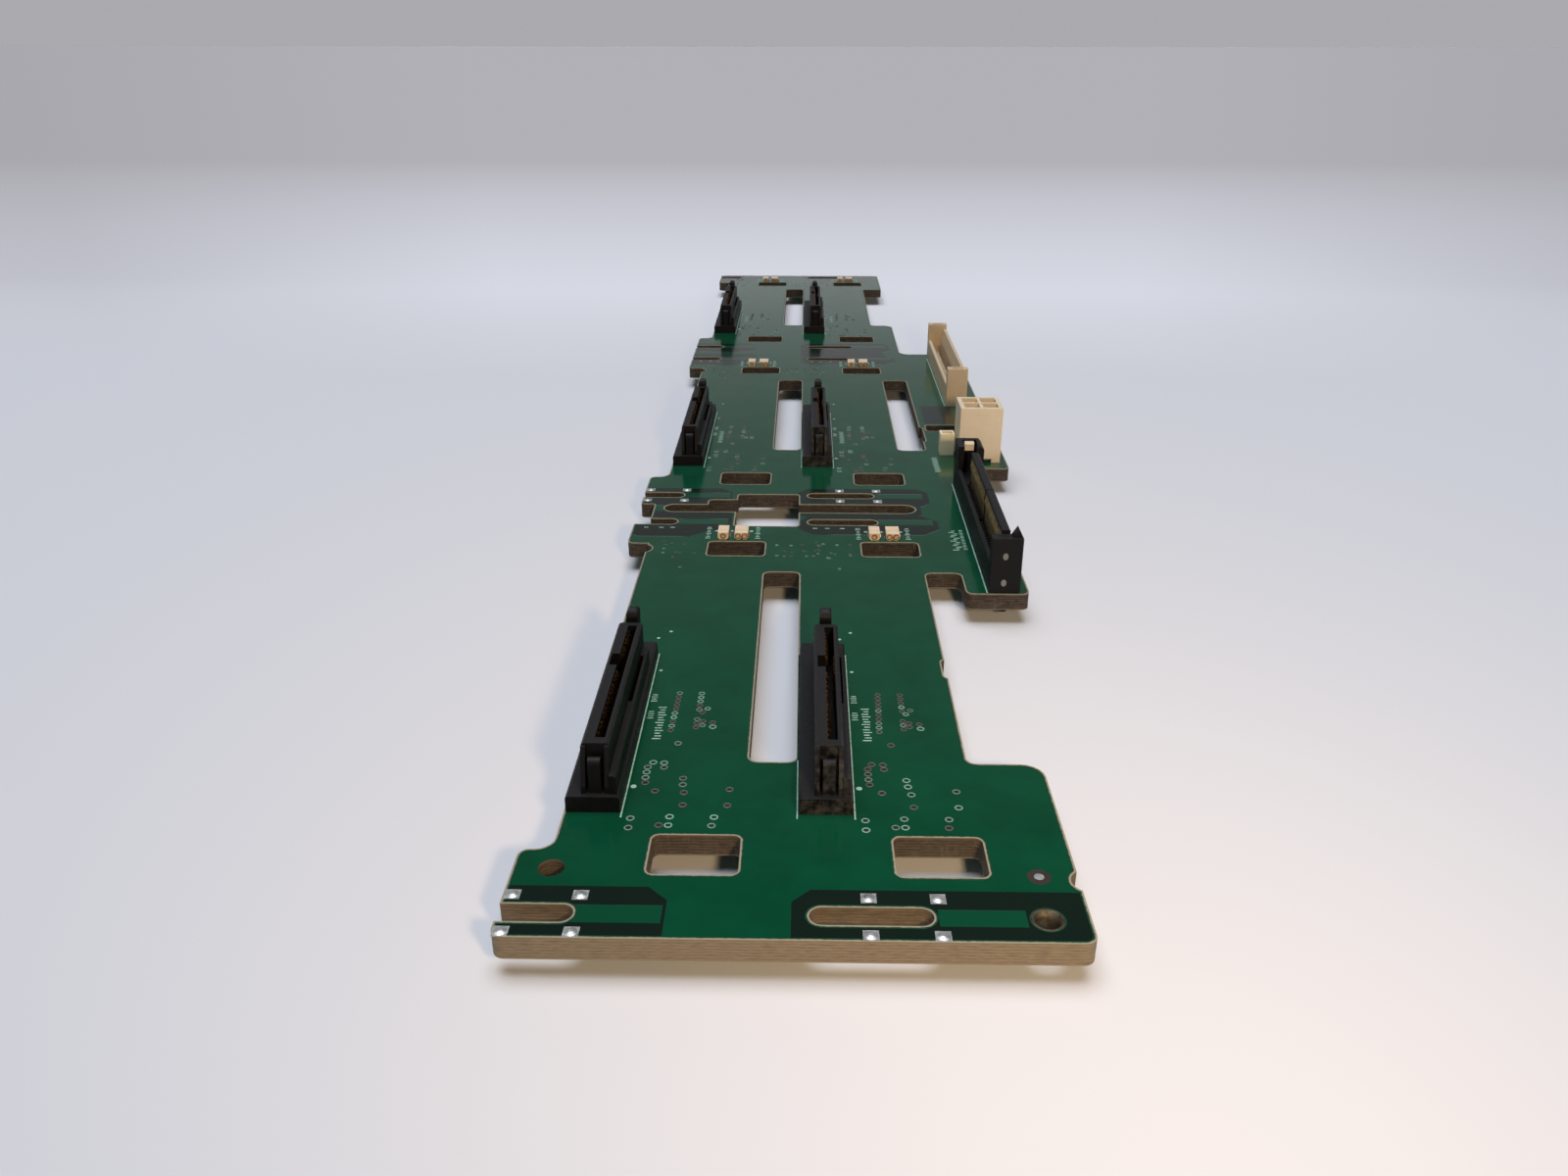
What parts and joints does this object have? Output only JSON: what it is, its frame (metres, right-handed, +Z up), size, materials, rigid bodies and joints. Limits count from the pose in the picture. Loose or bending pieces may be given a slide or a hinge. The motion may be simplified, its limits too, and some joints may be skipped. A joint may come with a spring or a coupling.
{
  "type": "drive backplane board",
  "caption": "Long slotted circuit board with drive sockets in two rows, and power, ribbon and card connectors on a side extension.",
  "frame": {"origin": "middle of the footprint, on the surface the board lies on, at the lowest face of its underside capacitors", "axes": "+Y along the board from the near end to the far end, +X across it towards the side connectors, +Z up out of the socket side"},
  "size_m": [0.0808, 0.4008, 0.0186],
  "materials": {
    "solder_mask": "glossy solder mask over a glass-fibre laminate",
    "black_plastic": "matte moulded",
    "cream_plastic": "satin moulded",
    "gold_contact": "gold-plated",
    "tin": "tin-plated",
    "lamp_lens": "clear cast lens",
    "lamp_body": "satin moulded",
    "yellow_epoxy": "moulded epoxy",
    "chip_black": "moulded epoxy",
    "capacitor_brown": "fired ceramic"
  },
  "bodies": {
    "root": {"circuit_board": "solder_mask", "drive_socket_1": "black_plastic", "drive_socket_2": "black_plastic", "drive_socket_3": "black_plastic", "drive_socket_4": "black_plastic", "drive_socket_5": "black_plastic", "drive_socket_6": "black_plastic", "drive_contacts_1": "gold_contact", "drive_contacts_2": "gold_contact", "drive_contacts_3": "gold_contact", "drive_contacts_4": "gold_contact", "drive_contacts_5": "gold_contact", "drive_contacts_6": "gold_contact", "card_connector_housing": "black_plastic", "card_contacts_left": "gold_contact", "card_contacts_right": "gold_contact", "card_connector_key": "cream_plastic", "power_header_housing": "cream_plastic", "power_header_pins": "tin", "ribbon_header_housing": "cream_plastic", "ribbon_header_pins": "gold_contact", "sensor_header_housing": "cream_plastic", "sensor_header_pins": "tin", "status_lamp_bodies": "lamp_body", "status_lamp_lenses": "lamp_lens", "activity_lamp_bodies": "lamp_body", "activity_lamp_lenses": "lamp_lens", "bulk_capacitor_bodies": "yellow_epoxy", "bulk_capacitor_terminals": "tin", "controller_chip": "chip_black", "controller_leads": "tin", "memory_chip": "chip_black", "memory_leads": "tin", "regulator_body": "chip_black", "regulator_leads": "tin", "chip_capacitor_bodies": "capacitor_brown", "chip_capacitor_ends": "tin", "chip_resistor_bodies": "chip_black", "chip_resistor_ends": "tin"}
  },
  "joints": []
}
